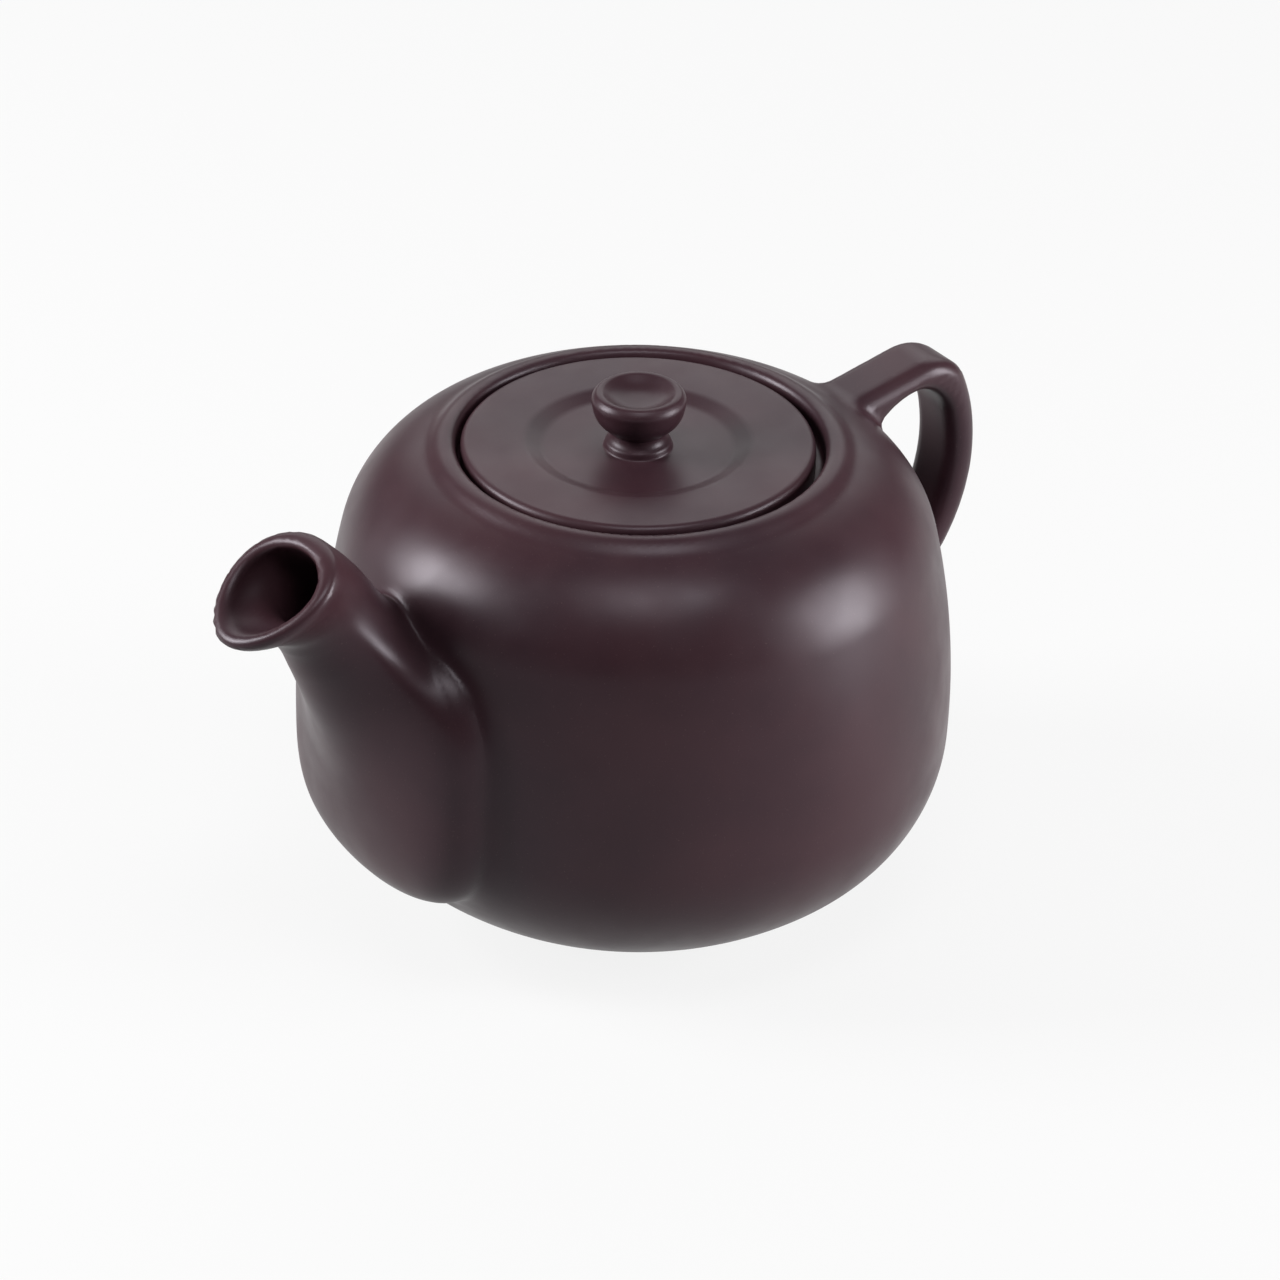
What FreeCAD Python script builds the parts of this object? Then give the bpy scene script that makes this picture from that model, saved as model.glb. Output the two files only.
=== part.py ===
import FreeCAD, Part
import math
import os

import Sketcher

# A slab-built clay teapot, in millimetres. The axis of the pot is Z, the table is Z = 0 and the
# spout points along +X. Every size below is a cell of the sheet and is written once.
SIZES = {
    # Form of the pot: tangent arcs from the sole up to the mouth
    "belly_radius": 62.5,
    "belly_level": 42.5,
    "wall": 4.0,
    "floor_thickness": 4.2,
    "under_arc": 59.6,
    "lower_arc": 32.0,
    "lower_turn": 46.0,
    "belly_arc": 152.0,
    "belly_low_turn": 3.0,
    "belly_high_turn": 13.0,
    "shoulder_arc": 25.5,
    # Joints between the slabs, measured from the widest level
    "base_joint_drop": 34.5,
    "wall_joint_drop": 12.5,
    "shoulder_joint_rise": 41.5,
    # Foot ring
    "foot_height": 1.7,
    "foot_inset": 0.8,
    "foot_width": 5.0,
    "foot_chamfer": 0.6,
    # Mouth: collar, ledge and lid
    "mouth_radius": 41.0,
    "collar_width": 4.9,
    "collar_crest": 0.5,
    "collar_round": 2.0,
    "collar_height": 7.5,
    "seat_width": 5.6,
    "seat_thickness": 3.2,
    "lid_gap": 1.4,
    "lid_thickness": 5.4,
    "lid_round": 1.4,
    "lid_chamfer": 0.6,
    "lid_slip": 0.6,
    "lid_slip_angle": 295.0,
    "recess_radius": 22.4,
    "recess_depth": 1.4,
    "recess_slope": 1.8,
    "vent_diameter": 2.6,
    "vent_reach": 11.5,
    "vent_angle": 233.5,
    "flange_gap": 0.9,
    "flange_width": 3.2,
    "flange_height": 9.5,
    # Knob
    "knob_neck": 5.1,
    "knob_foot": 5.6,
    "knob_bead": 1.8,
    "knob_bead_round": 0.95,
    "knob_waist": 2.1,
    "knob_waist_round": 2.4,
    "knob_radius": 9.2,
    "knob_bowl": 7.0,
    "knob_bowl_round": 8.0,
    "knob_crest": 1.3,
    "knob_crest_inset": 0.8,
    "knob_crest_round": 1.0,
    "knob_dish": 2.0,
    # Spout: oval sections, placed from the belly and from its widest level
    "spout_wall": 3.0,
    # Pour hole and strainer behind the spout
    "pour_radius": 10.0,
    "pour_level": 5.0,
    "dome_radius": 13.2,
    "dome_wall": 2.2,
    "dome_hole": 3.2,
    "dome_lean": 42.0,
    # Handle: a strap bent into an ear, with an outer and an inner edge of its own
    "strap_width": 13.4,
    "strap_round": 2.0,
    "bar_depth": 16.5,
    "bar_rise": 48.9,
    "bar_slope": 11.7,
    "ear_corner": 8.6,
    "ear_arc": 40.0,
    "ear_reach": 17.2,
    "ear_level": 31.0,
    "ear_end_rise": -3.5,
    "grip_thickness": 5.8,
    "grip_end_rise": 0.5,
    "loop_corner": 4.2,
    "loop_arc": 14.0,
    "loop_reach": 3.5,
    "loop_rise": 34.1,
    "loop_end_rise": 38.0,
}

# Oval sections of the spout from its hidden foot to the lip:
# distance out from the belly, rise from the widest level, lean, depth and extra width
SPOUT_SECTIONS = {
    "foot": (-17.0, -28.5, 0.0, 14.0, 3.0),
    "low": (-17.0, -22.5, 0.0, 40.5, 0.6),
    "swell": (-17.0, -11.0, 0.0, 52.4, 6.0),
    "bulb": (-16.0, 3.5, 2.0, 55.2, 7.0),
    "shoulder": (-9.0, 14.5, 8.0, 40.8, 18.0),
    "throat": (2.0, 27.0, 18.0, 23.4, 18.0),
    "neck": (9.6, 35.5, 30.0, 20.0, 1.0),
    "tip": (15.2, 44.5, 34.0, 19.6, 0.4),
    "lip": (23.2, 48.1, 35.5, 26.4, 0.2),
    "brim": (24.0, 49.2, 35.5, 24.4, 0.2),
}
SECTION_SIZES = ("out", "rise", "lean", "depth", "spread")

HOLES_IN_RING = 6
CUT_MARGIN = 5.0
FULL_TURN = 360.0
POINT_TOLERANCE = 0.01
EDGE_POINTS = 8

ORIGIN, START, END, CENTRE = -1, 1, 2, 3
VERTICAL_AXIS = -2

doc = FreeCAD.newDocument("clay_teapot")
sheet = doc.addObject("Spreadsheet::Sheet", "Sizes")
for section, values in SPOUT_SECTIONS.items():
    for size, value in zip(SECTION_SIZES, values):
        SIZES[f"spout_{section}_{size}"] = value
for row, (alias, value) in enumerate(SIZES.items(), start=1):
    sheet.set(f"A{row}", alias)
    sheet.set(f"B{row}", str(value))
    sheet.setAlias(f"B{row}", alias)
doc.recompute()


def cell(alias):
    """Value of a size in the sheet."""
    return float(getattr(sheet, alias))


def number(expression):
    """Value of an expression over the sheet, used to draw an outline close to its solution."""
    value = sheet.evalExpression(expression)
    return float(getattr(value, "Value", value))


def new_sketch(body, name, plane):
    """Empty sketch on one of the body's own origin planes."""
    sketch = body.newObject("Sketcher::SketchObject", name)
    support = next(item for item in body.Origin.OriginFeatures if item.Role == plane)
    sketch.AttachmentSupport = [(support, "")]
    sketch.MapMode = "FlatFace"
    return sketch


def bind(sketch, constraint, expression):
    """Add a constraint whose value follows an expression, and return its index."""
    index = sketch.addConstraint(constraint)
    sketch.setExpression(f"Constraints[{index}]", expression)
    return index


def revolve(body, sketch):
    """Turn a closed half outline about the axis of the pot."""
    turned = body.newObject("PartDesign::Revolution", sketch.Name + "Turned")
    turned.Profile = sketch
    turned.ReferenceAxis = (sketch, ["V_Axis"])
    turned.Angle = FULL_TURN
    return turned


def arc_between(start, end, radius, hollow):
    """Short arc from start to end, swelling outward or, if hollow, drawn inward."""
    chord = end - start
    middle = (start + end) * 0.5
    side = FreeCAD.Vector(-chord.y, chord.x, 0) / chord.Length
    reach = math.sqrt(max(radius**2 - chord.Length**2 / 4, 0.0))
    centre = middle - side * reach if hollow else middle + side * reach
    first, last = (end, start) if hollow else (start, end)
    low = math.atan2(first.y - centre.y, first.x - centre.x)
    high = math.atan2(last.y - centre.y, last.x - centre.x)
    if high < low:
        high += 2 * math.pi
    return Part.ArcOfCircle(Part.Circle(centre, FreeCAD.Vector(0, 0, 1), radius), low, high)


def turned_piece(name, corners):
    """Body of revolution from the corners of its half outline, listed anticlockwise.

    A corner is (radius, height) or (radius, height, shape, arc), where shape is "round" or "hollow" and
    the edge to the next corner is an arc of that radius.
    """
    body = doc.addObject("PartDesign::Body", name)
    body.Label = name
    sketch = new_sketch(body, name + "_outline", "XZ_Plane")
    points = [FreeCAD.Vector(number(corner[0]), number(corner[1]), 0) for corner in corners]
    ends = []
    for index, corner in enumerate(corners):
        start, end = points[index], points[(index + 1) % len(points)]
        if len(corner) == 2:
            edge = sketch.addGeometry(Part.LineSegment(start, end))
            ends.append((edge, START, END))
        else:
            hollow = corner[2] == "hollow"
            edge = sketch.addGeometry(arc_between(start, end, number(corner[3]), hollow))
            ends.append((edge, END, START) if hollow else (edge, START, END))
            bind(sketch, Sketcher.Constraint("Radius", edge, number(corner[3])), corner[3])
    for index, corner in enumerate(corners):
        edge, start, _ = ends[index]
        before, _, end_before = ends[index - 1]
        sketch.addConstraint(Sketcher.Constraint("Coincident", before, end_before, edge, start))
        if corner[0] == "0":
            sketch.addConstraint(Sketcher.Constraint("PointOnObject", edge, start, VERTICAL_AXIS))
        else:
            across = Sketcher.Constraint("DistanceX", ORIGIN, START, edge, start, points[index].x)
            bind(sketch, across, corner[0])
        upward = Sketcher.Constraint("DistanceY", ORIGIN, START, edge, start, points[index].y)
        bind(sketch, upward, corner[1])
    revolve(body, sketch)
    doc.recompute()
    return body


def pot_form(name, inset, sole, turn_sizes=("lower_turn", "belly_low_turn", "belly_high_turn")):
    """Solid of the whole pot form, drawn in by inset, with its flat sole at the given height.

    The outline is five tangent arcs on shared centres, so two forms with two insets enclose an even wall.
    """
    body = doc.addObject("PartDesign::Body", name)
    sketch = new_sketch(body, name + "_outline", "XZ_Plane")
    radii = [f"Sizes.{arc} - {inset}" for arc in
             ("under_arc", "lower_arc", "belly_arc", "belly_arc", "shoulder_arc")]
    lower, low_belly, high_belly = (math.radians(cell(size)) for size in turn_sizes)
    sole_height = number(sole)
    mouth = cell("mouth_radius")
    equator = FreeCAD.Vector(number(f"Sizes.belly_radius - {inset}"), cell("belly_level"), 0)

    # Centres and limits of the arcs, walked down and up from the widest point
    sizes = [number(radius) for radius in radii]
    belly = equator - FreeCAD.Vector(sizes[2], 0, 0)
    down = FreeCAD.Vector(math.cos(low_belly), -math.sin(low_belly), 0)
    lower_centre = belly + down * (sizes[2] - sizes[1])
    deep = FreeCAD.Vector(math.cos(low_belly + lower), -math.sin(low_belly + lower), 0)
    under_centre = lower_centre + deep * (sizes[1] - sizes[0])
    up = FreeCAD.Vector(math.cos(high_belly), math.sin(high_belly), 0)
    shoulder_centre = belly + up * (sizes[3] - sizes[4])
    sole_angle = math.asin((sole_height - under_centre.y) / sizes[0])
    mouth_angle = math.acos((mouth - shoulder_centre.x) / sizes[4])
    limits = [
        (under_centre, sole_angle, -low_belly - lower),
        (lower_centre, -low_belly - lower, -low_belly),
        (belly, -low_belly, 0.0),
        (belly, 0.0, high_belly),
        (shoulder_centre, high_belly, mouth_angle),
    ]
    arcs = []
    for (centre, low, high), size in zip(limits, sizes):
        circle = Part.Circle(centre, FreeCAD.Vector(0, 0, 1), size)
        arcs.append(sketch.addGeometry(Part.ArcOfCircle(circle, low, high)))
    sole_end = sketch.getPoint(arcs[0], START)
    mouth_end = sketch.getPoint(arcs[-1], END)
    sole_line = sketch.addGeometry(Part.LineSegment(FreeCAD.Vector(0, sole_end.y, 0), sole_end))
    mouth_line = sketch.addGeometry(Part.LineSegment(mouth_end, FreeCAD.Vector(0, mouth_end.y, 0)))
    axis_top, axis_foot = FreeCAD.Vector(0, mouth_end.y, 0), FreeCAD.Vector(0, sole_end.y, 0)
    axis_line = sketch.addGeometry(Part.LineSegment(axis_top, axis_foot))

    for below, above in zip(arcs, arcs[1:]):
        sketch.addConstraint(Sketcher.Constraint("Tangent", below, END, above, START))
    for before, after in ((sole_line, arcs[0]), (arcs[-1], mouth_line), (mouth_line, axis_line),
                          (axis_line, sole_line)):
        sketch.addConstraint(Sketcher.Constraint("Coincident", before, END, after, START))
    for line in (sole_line, mouth_line):
        sketch.addConstraint(Sketcher.Constraint("Horizontal", line))
    sketch.addConstraint(Sketcher.Constraint("PointOnObject", sole_line, START, VERTICAL_AXIS))
    sketch.addConstraint(Sketcher.Constraint("PointOnObject", mouth_line, END, VERTICAL_AXIS))
    for arc, radius, size in zip(arcs, radii, sizes):
        bind(sketch, Sketcher.Constraint("Radius", arc, size), radius)
    for arc, size in zip(arcs[1:4], turn_sizes):
        bind(sketch, Sketcher.Constraint("Angle", arc, math.radians(cell(size))), f"Sizes.{size} * 1 deg")
    widest = arcs[3]
    bind(sketch, Sketcher.Constraint("DistanceX", ORIGIN, START, widest, START, equator.x),
         f"Sizes.belly_radius - {inset}")
    bind(sketch, Sketcher.Constraint("DistanceY", ORIGIN, START, widest, START, equator.y),
         "Sizes.belly_level")
    sketch.addConstraint(Sketcher.Constraint("Horizontal", widest, START, widest, CENTRE))
    bind(sketch, Sketcher.Constraint("DistanceY", ORIGIN, START, arcs[0], START, sole_height), sole)
    bind(sketch, Sketcher.Constraint("DistanceX", ORIGIN, START, arcs[-1], END, mouth), "Sizes.mouth_radius")

    # Levels that other pieces read back from the solved outline
    for label, kind, point in (("mouth_level", "DistanceY", (arcs[-1], END)),
                               ("sole_radius", "DistanceX", (arcs[0], START))):
        index = sketch.addConstraint(Sketcher.Constraint(kind, ORIGIN, START, *point, 1.0))
        sketch.setDriving(index, False)
        sketch.renameConstraint(index, label)
    revolve(body, sketch)
    doc.recompute()
    return body


def named(kind, name, **links):
    """Part object with its label and the objects it works on."""
    item = doc.addObject(kind, name)
    item.Label = name
    for link, value in links.items():
        setattr(item, link, value)
    return item


def cylinder(name, radius, height, placement):
    """Cylinder whose sizes and place follow expressions."""
    item = named("Part::Cylinder", name)
    item.setExpression("Radius", radius)
    item.setExpression("Height", height)
    item.setExpression("Placement", placement)
    return item


# Form of the pot, outside and inside
outer_form = pot_form("outer_form", "0", "Sizes.foot_height")
inner_form = pot_form("inner_form", "Sizes.wall", "Sizes.foot_height + Sizes.floor_thickness")
MOUTH_LEVEL = "(outer_form_outline.Constraints.mouth_level / 1 mm)"
SOLE_RADIUS = "(outer_form_outline.Constraints.sole_radius / 1 mm)"
UPRIGHT = "rotation(vector(0; 0; 1); 0)"
SIDEWAYS = "90"

# Slabs of the shell: base, lower wall, belly wall and shoulder
shell = named("Part::Cut", "shell", Base=outer_form, Tool=inner_form)
BASE_JOINT = "(Sizes.belly_level - Sizes.base_joint_drop)"
WALL_JOINT = "(Sizes.belly_level - Sizes.wall_joint_drop)"
SHOULDER_JOINT = "(Sizes.belly_level + Sizes.shoulder_joint_rise)"
SLAB_RADIUS = f"Sizes.belly_radius + {CUT_MARGIN}"
base_slab = cylinder("base_slab", SLAB_RADIUS, BASE_JOINT, f"placement(vector(0; 0; 0); {UPRIGHT})")
lower_slab = cylinder("lower_slab", SLAB_RADIUS, f"{WALL_JOINT} - {BASE_JOINT}",
                      f"placement(vector(0; 0; {BASE_JOINT}); {UPRIGHT})")
wall_slab = cylinder("wall_slab", SLAB_RADIUS, f"{SHOULDER_JOINT} - {WALL_JOINT}",
                     f"placement(vector(0; 0; {WALL_JOINT}); {UPRIGHT})")
shoulder_slab = cylinder("shoulder_slab", SLAB_RADIUS, f"{MOUTH_LEVEL} - {SHOULDER_JOINT} + {CUT_MARGIN}",
                         f"placement(vector(0; 0; {SHOULDER_JOINT}); {UPRIGHT})")
base_disc = named("Part::Common", "base_disc", Base=shell, Tool=base_slab)
lower_wall = named("Part::Common", "lower_wall", Base=shell, Tool=lower_slab)
wall_ring = named("Part::Common", "wall_ring", Base=shell, Tool=wall_slab)
shoulder_cap = named("Part::Common", "shoulder_cap", Base=shell, Tool=shoulder_slab)
mouth_drill = cylinder("mouth_drill", "Sizes.mouth_radius", MOUTH_LEVEL,
                       f"placement(vector(0; 0; {SHOULDER_JOINT}); {UPRIGHT})")
shoulder_disc = named("Part::Cut", "shoulder_disc", Base=shoulder_cap, Tool=mouth_drill)

# Foot ring under the sole
FOOT_OUTER = f"({SOLE_RADIUS} - Sizes.foot_inset)"
FOOT_INNER = f"({FOOT_OUTER} - Sizes.foot_width)"
foot_ring = turned_piece("foot_ring", [
    (f"{FOOT_INNER} + Sizes.foot_chamfer", "0"),
    (f"{FOOT_OUTER} - Sizes.foot_chamfer", "0"),
    (FOOT_OUTER, "Sizes.foot_chamfer"),
    (FOOT_OUTER, "Sizes.foot_height"),
    (FOOT_INNER, "Sizes.foot_height"),
    (FOOT_INNER, "Sizes.foot_chamfer"),
])

# Mouth: the collar stands in the shoulder and holds the ledge
BORE = "(Sizes.mouth_radius - Sizes.collar_width)"
CREST = f"({MOUTH_LEVEL} + Sizes.collar_crest)"
COLLAR_FOOT = f"({CREST} - Sizes.collar_height)"
SEAT_TOP = f"({COLLAR_FOOT} + Sizes.seat_thickness)"
SEAT_BORE = f"({BORE} - Sizes.seat_width)"
mouth_collar = turned_piece("mouth_collar", [
    (BORE, COLLAR_FOOT),
    ("Sizes.mouth_radius", COLLAR_FOOT),
    ("Sizes.mouth_radius", MOUTH_LEVEL),
    (f"{BORE} + Sizes.collar_round", CREST, "round", "Sizes.collar_round"),
    (BORE, f"{CREST} - Sizes.collar_round"),
])
seat_ring = turned_piece("seat_ring", [
    (SEAT_BORE, COLLAR_FOOT),
    (BORE, COLLAR_FOOT),
    (BORE, SEAT_TOP),
    (SEAT_BORE, SEAT_TOP),
])

# Lid: plate, guide ring and knob, turned on the axis and then slipped to where they lie in the seat
LID_RADIUS = f"({BORE} - Sizes.lid_gap)"
LID_TOP = f"({SEAT_TOP} + Sizes.lid_thickness)"
RECESS_FLOOR = f"({LID_TOP} - Sizes.recess_depth)"
lid_blank = turned_piece("lid_blank", [
    ("0", SEAT_TOP),
    (f"{LID_RADIUS} - Sizes.lid_chamfer", SEAT_TOP),
    (LID_RADIUS, f"{SEAT_TOP} + Sizes.lid_chamfer"),
    (LID_RADIUS, f"{LID_TOP} - Sizes.lid_round", "round", "Sizes.lid_round"),
    (f"{LID_RADIUS} - Sizes.lid_round", LID_TOP),
    ("Sizes.recess_radius", LID_TOP),
    ("Sizes.recess_radius - Sizes.recess_slope", RECESS_FLOOR),
    ("0", RECESS_FLOOR),
])
vent_drill = cylinder("vent_drill", "Sizes.vent_diameter / 2", f"Sizes.lid_thickness + {CUT_MARGIN}",
                      "placement(vector(Sizes.vent_reach * cos(Sizes.vent_angle * 1 deg);"
                      " Sizes.vent_reach * sin(Sizes.vent_angle * 1 deg);"
                      f" {SEAT_TOP} - {CUT_MARGIN} / 2); {UPRIGHT})")
lid_plate = named("Part::Cut", "lid_plate", Base=lid_blank, Tool=vent_drill)
FLANGE_OUTER = f"({SEAT_BORE} - Sizes.flange_gap)"
FLANGE_INNER = f"({FLANGE_OUTER} - Sizes.flange_width)"
FLANGE_FOOT = f"({SEAT_TOP} - Sizes.flange_height)"
lid_flange = turned_piece("lid_flange", [
    (FLANGE_INNER, FLANGE_FOOT),
    (FLANGE_OUTER, FLANGE_FOOT),
    (FLANGE_OUTER, SEAT_TOP),
    (FLANGE_INNER, SEAT_TOP),
])
BEAD_TOP = f"({RECESS_FLOOR} + Sizes.knob_bead)"
WAIST_TOP = f"({BEAD_TOP} + Sizes.knob_waist)"
BOWL_TOP = f"({WAIST_TOP} + Sizes.knob_bowl)"
KNOB_TOP = f"({BOWL_TOP} + Sizes.knob_crest)"
DISH_RIM = "(Sizes.knob_radius - Sizes.knob_crest_inset)"
DISH_ARC = f"(({DISH_RIM} * {DISH_RIM} + Sizes.knob_dish * Sizes.knob_dish) / (2 * Sizes.knob_dish))"
knob = turned_piece("knob", [
    ("0", RECESS_FLOOR),
    ("Sizes.knob_foot", RECESS_FLOOR, "round", "Sizes.knob_bead_round"),
    ("Sizes.knob_foot", BEAD_TOP, "hollow", "Sizes.knob_waist_round"),
    ("Sizes.knob_neck", WAIST_TOP, "round", "Sizes.knob_bowl_round"),
    ("Sizes.knob_radius", BOWL_TOP, "round", "Sizes.knob_crest_round"),
    (DISH_RIM, KNOB_TOP, "hollow", DISH_ARC),
    ("0", f"{KNOB_TOP} - Sizes.knob_dish"),
])
for piece in (lid_plate, lid_flange, knob):
    piece.setExpression("Placement", "placement(vector(Sizes.lid_slip * cos(Sizes.lid_slip_angle * 1 deg);"
                        f" Sizes.lid_slip * sin(Sizes.lid_slip_angle * 1 deg); 0); {UPRIGHT})")


def spout_section(prefix, section, inset, lift="0"):
    """Oval across the spout, drawn in by inset and lifted along its own normal."""
    size = f"Sizes.spout_{section}_"
    oval = named("Part::Ellipse", f"{prefix}_{section}")
    oval.setExpression("MajorRadius", f"({size}depth + {size}spread) / 2 - {inset}")
    oval.setExpression("MinorRadius", f"{size}depth / 2 - {inset}")
    lean = f"{size}lean * 1 deg"
    oval.setExpression("Placement", "placement(vector("
                       f"Sizes.belly_radius + {size}out + {lift} * sin({lean}); 0;"
                       f" Sizes.belly_level + {size}rise + {lift} * cos({lean}));"
                       f" rotation({SIDEWAYS}; 0; {size}lean))")
    return oval


# Spout: a wide root that swells from the belly, a neck and a drawn-out lip with a rounded brim
sections = list(SPOUT_SECTIONS)
spout_skin = named("Part::Loft", "spout_skin", Solid=True,
                   Sections=[spout_section("skin", section, "0") for section in sections])
bore_sections = [spout_section("bore", section, "Sizes.spout_wall") for section in sections[1:-1]]
bore_sections.append(spout_section("bore_end", "lip", "Sizes.spout_wall", f"{CUT_MARGIN}"))
spout_bore = named("Part::Loft", "spout_bore", Solid=True, Sections=bore_sections)
spout_root = named("Part::Cut", "spout_root", Base=spout_skin, Tool=outer_form)
spout = named("Part::Cut", "spout", Base=spout_root, Tool=spout_bore)

# Pour hole through the wall, and the pierced dome inside it
POUR_LEVEL = "Sizes.belly_level + Sizes.pour_level"
INNER_BELLY = "(Sizes.belly_radius - Sizes.wall)"
pour_drill = cylinder("pour_drill", "Sizes.pour_radius", f"Sizes.wall + {CUT_MARGIN} * 2",
                      f"placement(vector({INNER_BELLY} - {CUT_MARGIN}; 0; {POUR_LEVEL});"
                      f" rotation(vector(0; 1; 0); {SIDEWAYS}))")
body_wall = named("Part::Cut", "body_wall", Base=wall_ring, Tool=pour_drill)
dome_ball = named("Part::Sphere", "dome_ball")
dome_hollow = named("Part::Sphere", "dome_hollow")
dome_ball.setExpression("Radius", "Sizes.dome_radius")
dome_hollow.setExpression("Radius", "Sizes.dome_radius - Sizes.dome_wall")
for ball in (dome_ball, dome_hollow):
    ball.setExpression("Placement", f"placement(vector({INNER_BELLY}; 0; {POUR_LEVEL}); {UPRIGHT})")
dome_shell = named("Part::Cut", "dome_shell", Base=dome_ball, Tool=dome_hollow)
dome_cap = named("Part::Common", "dome_cap", Base=dome_shell, Tool=inner_form)
drills = []
for count, lean in ((1, "0"), (HOLES_IN_RING, "Sizes.dome_lean")):
    for turn in range(count):
        angle = FULL_TURN * turn / count
        drills.append(cylinder(
            f"dome_drill_{len(drills)}", "Sizes.dome_hole / 2", "Sizes.dome_wall * 3",
            f"placement(vector({INNER_BELLY}; 0; {POUR_LEVEL});"
            f" rotation(vector(1; 0; 0); {angle}) * rotation(vector(0; 1; 0); {lean} - {SIDEWAYS}))"
            f" * placement(vector(0; 0; Sizes.dome_radius - Sizes.dome_wall * 2); {UPRIGHT})"))
dome_drills = named("Part::MultiFuse", "dome_drills", Shapes=drills)
strainer_dome = named("Part::Cut", "strainer_dome", Base=dome_cap, Tool=dome_drills)

# Handle: a flat ear cut to its side view and rounded along its edges
BAR_REACH = "(Sizes.belly_radius - Sizes.bar_depth)"
BAR_LEVEL = "(Sizes.belly_level + Sizes.bar_rise)"
EAR_CENTRE = "(Sizes.belly_radius + Sizes.ear_reach - Sizes.ear_arc)"
EAR_LEVEL = "(Sizes.belly_level + Sizes.ear_level)"
EAR_END = "(Sizes.belly_level + Sizes.ear_end_rise)"
GRIP_ARC = "(Sizes.ear_arc - Sizes.grip_thickness)"
GRIP_END = "(Sizes.belly_level + Sizes.grip_end_rise)"
LOOP_REACH = "(Sizes.belly_radius + Sizes.loop_reach)"
LOOP_LEVEL = "(Sizes.belly_level + Sizes.loop_rise)"
LOOP_END = "(Sizes.belly_level + Sizes.loop_end_rise)"


def bearing(centre, point):
    """Angle of a point seen from a centre, from 0 to a full turn."""
    return math.atan2(point.y - centre.y, point.x - centre.x) % (2 * math.pi)


def ear_outline(body):
    """Side view of the handle: a bar out of the shoulder, a corner and a grip that bends back to the belly.

    The finger loop has its own corner and its own arc under the bar, which thickens the root.
    """
    sketch = new_sketch(body, "ear_outline", "XZ_Plane")
    up = FreeCAD.Vector(0, 0, 1)
    slope = math.radians(cell("bar_slope"))
    root = FreeCAD.Vector(-number(BAR_REACH), number(BAR_LEVEL), 0)
    ear = FreeCAD.Vector(-number(EAR_CENTRE), number(EAR_LEVEL), 0)
    loop = FreeCAD.Vector(-number(LOOP_REACH), number(LOOP_LEVEL), 0)
    corner, grip, inner = cell("ear_corner"), cell("ear_arc"), number(GRIP_ARC)
    small, under = cell("loop_corner"), cell("loop_arc")

    # The outer corner touches the bar from below and lies inside the grip arc
    along = FreeCAD.Vector(-math.cos(slope), math.sin(slope), 0)
    below = FreeCAD.Vector(-math.sin(slope), -math.cos(slope), 0)
    start = root + below * corner - ear
    half = start.dot(along)
    travel = -half + math.sqrt(half**2 - start.dot(start) + (grip - corner)**2)
    bend = root + below * corner + along * travel

    # The loop corner lies inside both the inner grip arc and the arc under the bar
    span = (loop - ear).Length
    toward = (loop - ear) / span
    reach = (span**2 + (inner - small)**2 - (under - small)**2) / (2 * span)
    aside = FreeCAD.Vector(toward.y, -toward.x, 0)
    nook = ear + toward * reach + aside * math.sqrt((inner - small)**2 - reach**2)

    def arc(centre, radius, low, high):
        return sketch.addGeometry(Part.ArcOfCircle(Part.Circle(centre, up, radius), low, high))

    def on_level(centre, radius, level):
        return math.pi - math.asin((number(level) - centre.y) / radius)

    turn, fold, nest = bearing(ear, bend), bearing(ear, nook), bearing(loop, nook)
    bar = sketch.addGeometry(Part.LineSegment(root, root + along * travel))
    knee = arc(bend, corner, math.pi / 2 - slope, turn)
    back = arc(ear, grip, turn, on_level(ear, grip, EAR_END))
    palm = arc(ear, inner, fold, on_level(ear, inner, GRIP_END))
    pocket = arc(nook, small, nest, fold)
    roof = arc(loop, under, math.pi - on_level(loop, under, LOOP_END), nest)
    lower_end = sketch.addGeometry(Part.LineSegment(sketch.getPoint(back, END), sketch.getPoint(palm, END)))
    upper_end = sketch.addGeometry(Part.LineSegment(sketch.getPoint(roof, START), root))

    for before, after in ((bar, knee), (knee, back), (roof, pocket), (pocket, palm)):
        sketch.addConstraint(Sketcher.Constraint("Tangent", before, END, after, START))
    for before, first, after, second in ((back, END, lower_end, START), (lower_end, END, palm, END),
                                         (roof, START, upper_end, START), (upper_end, END, bar, START)):
        sketch.addConstraint(Sketcher.Constraint("Coincident", before, first, after, second))
    for edge, radius in ((knee, "Sizes.ear_corner"), (back, "Sizes.ear_arc"), (palm, GRIP_ARC),
                         (pocket, "Sizes.loop_corner"), (roof, "Sizes.loop_arc")):
        bind(sketch, Sketcher.Constraint("Radius", edge, number(radius)), radius)
    sketch.addConstraint(Sketcher.Constraint("Coincident", back, CENTRE, palm, CENTRE))
    for edge, point, distance in ((bar, START, BAR_REACH), (back, CENTRE, EAR_CENTRE),
                                  (roof, CENTRE, LOOP_REACH)):
        bind(sketch, Sketcher.Constraint("DistanceX", edge, point, ORIGIN, START, number(distance)), distance)
    for edge, point, level in ((bar, START, BAR_LEVEL), (back, CENTRE, EAR_LEVEL), (back, END, EAR_END),
                               (palm, END, GRIP_END), (roof, CENTRE, LOOP_LEVEL), (roof, START, LOOP_END)):
        bind(sketch, Sketcher.Constraint("DistanceY", ORIGIN, START, edge, point, number(level)), level)
    bind(sketch, Sketcher.Constraint("Angle", bar, math.pi - slope), "180 deg - Sizes.bar_slope * 1 deg")
    return sketch


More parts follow.
